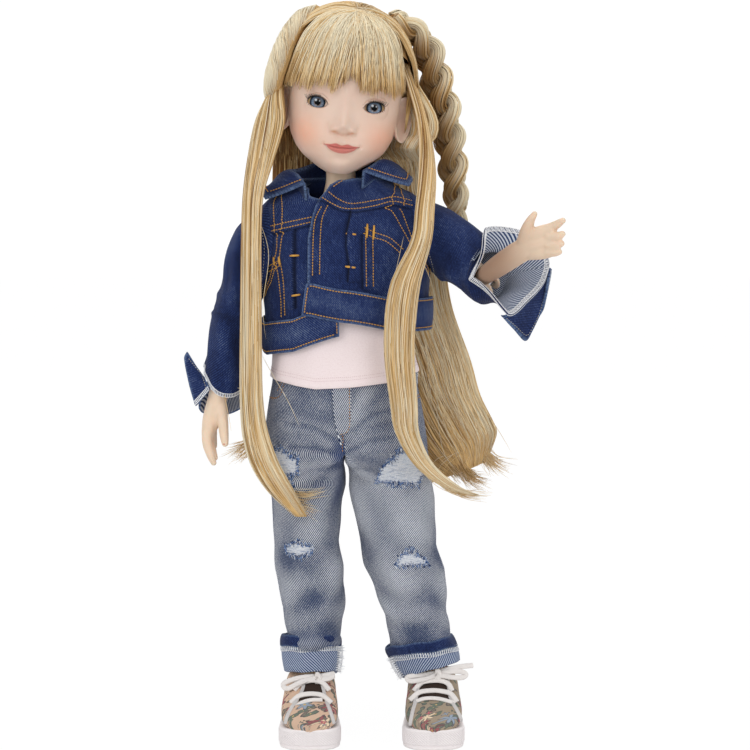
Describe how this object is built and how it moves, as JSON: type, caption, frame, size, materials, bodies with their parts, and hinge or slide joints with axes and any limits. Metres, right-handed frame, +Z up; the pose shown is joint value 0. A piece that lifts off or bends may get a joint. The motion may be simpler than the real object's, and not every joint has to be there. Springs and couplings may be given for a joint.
{
  "type": "fashion doll",
  "caption": "Standing vinyl fashion doll with long blond hair, denim jacket, T-shirt, jeans and canvas shoes; neck, shoulders, elbows, hips and knees move.",
  "frame": {"origin": "on the floor, under the middle of the doll's bounding box", "axes": "+Z up, the doll faces -Y, its own left is +X"},
  "size_m": [0.1895, 0.1187, 0.3724],
  "materials": {
    "vinyl_skin": "satin soft vinyl",
    "inner_plastic": "moulded",
    "eye_acrylic": "polished",
    "blond_hair": "fine nylon fibre",
    "blue_denim": "indigo denim with orange topstitching",
    "washed_denim": "washed and worn denim",
    "pink_knit": "fine jersey",
    "printed_canvas": "printed canvas",
    "white_rubber": "moulded",
    "white_lace": "flat woven",
    "brown_cloth": "woven",
    "steel_pin": "plain"
  },
  "bodies": {
    "torso": {"torso_shell": "vinyl_skin", "tshirt": "pink_knit", "jacket_back": "blue_denim", "jacket_front_left": "blue_denim", "jacket_front_right": "blue_denim", "jacket_collar": "blue_denim", "waistband_left": "blue_denim", "waistband_right": "blue_denim", "jeans_seat": "washed_denim"},
    "neck_link": {"neck_link": "inner_plastic"},
    "head_plug": {"head_plug": "inner_plastic"},
    "head": {"head_shell": "vinyl_skin", "eye_left": "eye_acrylic", "eye_right": "eye_acrylic", "hair_cap": "blond_hair", "fringe": "blond_hair", "braid_left": "blond_hair", "braid_right": "blond_hair", "hair_front_left": "blond_hair", "hair_front_right": "blond_hair", "hair_back": "blond_hair"},
    "shoulder_left": {"shoulder_pin_left": "inner_plastic"},
    "upper_arm_left": {"upper_arm_left": "vinyl_skin", "elbow_pin_left": "steel_pin", "sleeve_upper_left": "blue_denim"},
    "forearm_left": {"forearm_left": "vinyl_skin", "sleeve_lower_left": "blue_denim", "cuff_left": "blue_denim"},
    "hip_left": {"hip_link_left": "inner_plastic"},
    "thigh_left": {"thigh_left": "vinyl_skin", "knee_pin_left": "steel_pin", "jeans_upper_left": "washed_denim"},
    "shin_left": {"lower_leg_left": "vinyl_skin", "jeans_lower_left": "washed_denim", "jeans_turnup_left": "washed_denim", "shoe_sole_left": "white_rubber", "shoe_upper_left": "printed_canvas", "shoe_tongue_left": "brown_cloth", "shoe_lace_left": "white_lace"},
    "shoulder_right": {"shoulder_pin_right": "inner_plastic"},
    "upper_arm_right": {"upper_arm_right": "vinyl_skin", "elbow_pin_right": "steel_pin", "sleeve_upper_right": "blue_denim"},
    "forearm_right": {"forearm_right": "vinyl_skin", "sleeve_lower_right": "blue_denim", "cuff_right": "blue_denim"},
    "hip_right": {"hip_link_right": "inner_plastic"},
    "thigh_right": {"thigh_right": "vinyl_skin", "knee_pin_right": "steel_pin", "jeans_upper_right": "washed_denim"},
    "shin_right": {"lower_leg_right": "vinyl_skin", "jeans_lower_right": "washed_denim", "jeans_turnup_right": "washed_denim", "shoe_sole_right": "white_rubber", "shoe_upper_right": "printed_canvas", "shoe_tongue_right": "brown_cloth", "shoe_lace_right": "white_lace"}
  },
  "joints": [
    {"name": "neck_nod", "type": "hinge", "parent": "torso", "child": "neck_link", "pos_m": [-0.0175, 0.012, 0.302], "axis": [1, 0, 0], "range_deg": [-6, 5], "deforming": ["hair_front_left", "hair_front_right", "hair_back", "braid_left", "jacket_collar"]},
    {"name": "neck_tilt", "type": "hinge", "parent": "neck_link", "child": "head_plug", "pos_m": [-0.0175, 0.012, 0.302], "axis": [0, 1, 0], "range_deg": [-8, 3], "deforming": ["hair_front_left", "hair_front_right", "hair_back", "braid_left", "jacket_collar"]},
    {"name": "head_turn", "type": "hinge", "parent": "head_plug", "child": "head", "pos_m": [-0.0175, 0.012, 0.302], "axis": [0.1045, 0, 0.9945], "range_deg": [-45, 45], "deforming": ["hair_front_left", "hair_front_right", "hair_back", "braid_left", "jacket_collar"]},
    {"name": "shoulder_swing_left", "type": "hinge", "parent": "torso", "child": "shoulder_left", "pos_m": [0.02217, 0.012, 0.262], "axis": [1, 0, 0], "range_deg": [-60, 60], "deforming": ["sleeve_upper_left", "sleeve_lower_left", "cuff_left", "jacket_back", "jacket_front_left"]},
    {"name": "shoulder_raise_left", "type": "hinge", "parent": "shoulder_left", "child": "upper_arm_left", "pos_m": [0.02217, 0.012, 0.262], "axis": [0, -1, 0], "range_deg": [-24, 40], "deforming": ["sleeve_upper_left", "sleeve_lower_left", "cuff_left", "jacket_back", "jacket_front_left"]},
    {"name": "elbow_bend_left", "type": "hinge", "parent": "upper_arm_left", "child": "forearm_left", "pos_m": [0.05687, 0.00079, 0.23236], "axis": [-0.6412, -0.5381, -0.5472], "range_deg": [-65, 15], "deforming": ["sleeve_upper_left", "sleeve_lower_left", "cuff_left"]},
    {"name": "shoulder_swing_right", "type": "hinge", "parent": "torso", "child": "shoulder_right", "pos_m": [-0.05583, 0.012, 0.262], "axis": [1, 0, 0], "range_deg": [-90, 30], "deforming": ["sleeve_upper_right", "sleeve_lower_right", "cuff_right", "jacket_back", "jacket_front_right"]},
    {"name": "shoulder_raise_right", "type": "hinge", "parent": "shoulder_right", "child": "upper_arm_right", "pos_m": [-0.05583, 0.012, 0.262], "axis": [0, 1, 0], "range_deg": [0, 70], "deforming": ["sleeve_upper_right", "sleeve_lower_right", "cuff_right", "jacket_back", "jacket_front_right"]},
    {"name": "elbow_bend_right", "type": "hinge", "parent": "upper_arm_right", "child": "forearm_right", "pos_m": [-0.07035, 0.01036, 0.21733], "axis": [-0.7695, -0.5782, 0.2713], "range_deg": [-5, 85], "deforming": ["sleeve_upper_right", "sleeve_lower_right", "cuff_right"]},
    {"name": "hip_spread_left", "type": "hinge", "parent": "torso", "child": "hip_left", "pos_m": [0.0015, 0.012, 0.1518], "axis": [0, -1, 0], "range_deg": [-4, 12], "deforming": ["jeans_seat", "jeans_upper_left", "jeans_lower_left"]},
    {"name": "hip_flex_left", "type": "hinge", "parent": "hip_left", "child": "thigh_left", "pos_m": [0.0015, 0.012, 0.1518], "axis": [-1, 0, 0], "range_deg": [-20, 60], "deforming": ["jeans_seat", "jeans_upper_left", "jeans_lower_left"]},
    {"name": "knee_bend_left", "type": "hinge", "parent": "thigh_left", "child": "shin_left", "pos_m": [0.01657, 0.012, 0.08754], "axis": [0.9736, 0, 0.2283], "range_deg": [0, 75], "deforming": ["jeans_upper_left", "jeans_lower_left"]},
    {"name": "hip_spread_right", "type": "hinge", "parent": "torso", "child": "hip_right", "pos_m": [-0.0315, 0.012, 0.1518], "axis": [0, 1, 0], "range_deg": [-2, 15], "deforming": ["jeans_seat", "jeans_upper_right", "jeans_lower_right"]},
    {"name": "hip_flex_right", "type": "hinge", "parent": "hip_right", "child": "thigh_right", "pos_m": [-0.0315, 0.012, 0.1518], "axis": [-1, 0, 0], "range_deg": [-20, 60], "deforming": ["jeans_seat", "jeans_upper_right", "jeans_lower_right"]},
    {"name": "knee_bend_right", "type": "hinge", "parent": "thigh_right", "child": "shin_right", "pos_m": [-0.03265, 0.012, 0.08581], "axis": [0.9998, 0, -0.0174], "range_deg": [0, 75], "deforming": ["jeans_upper_right", "jeans_lower_right"]}
  ]
}
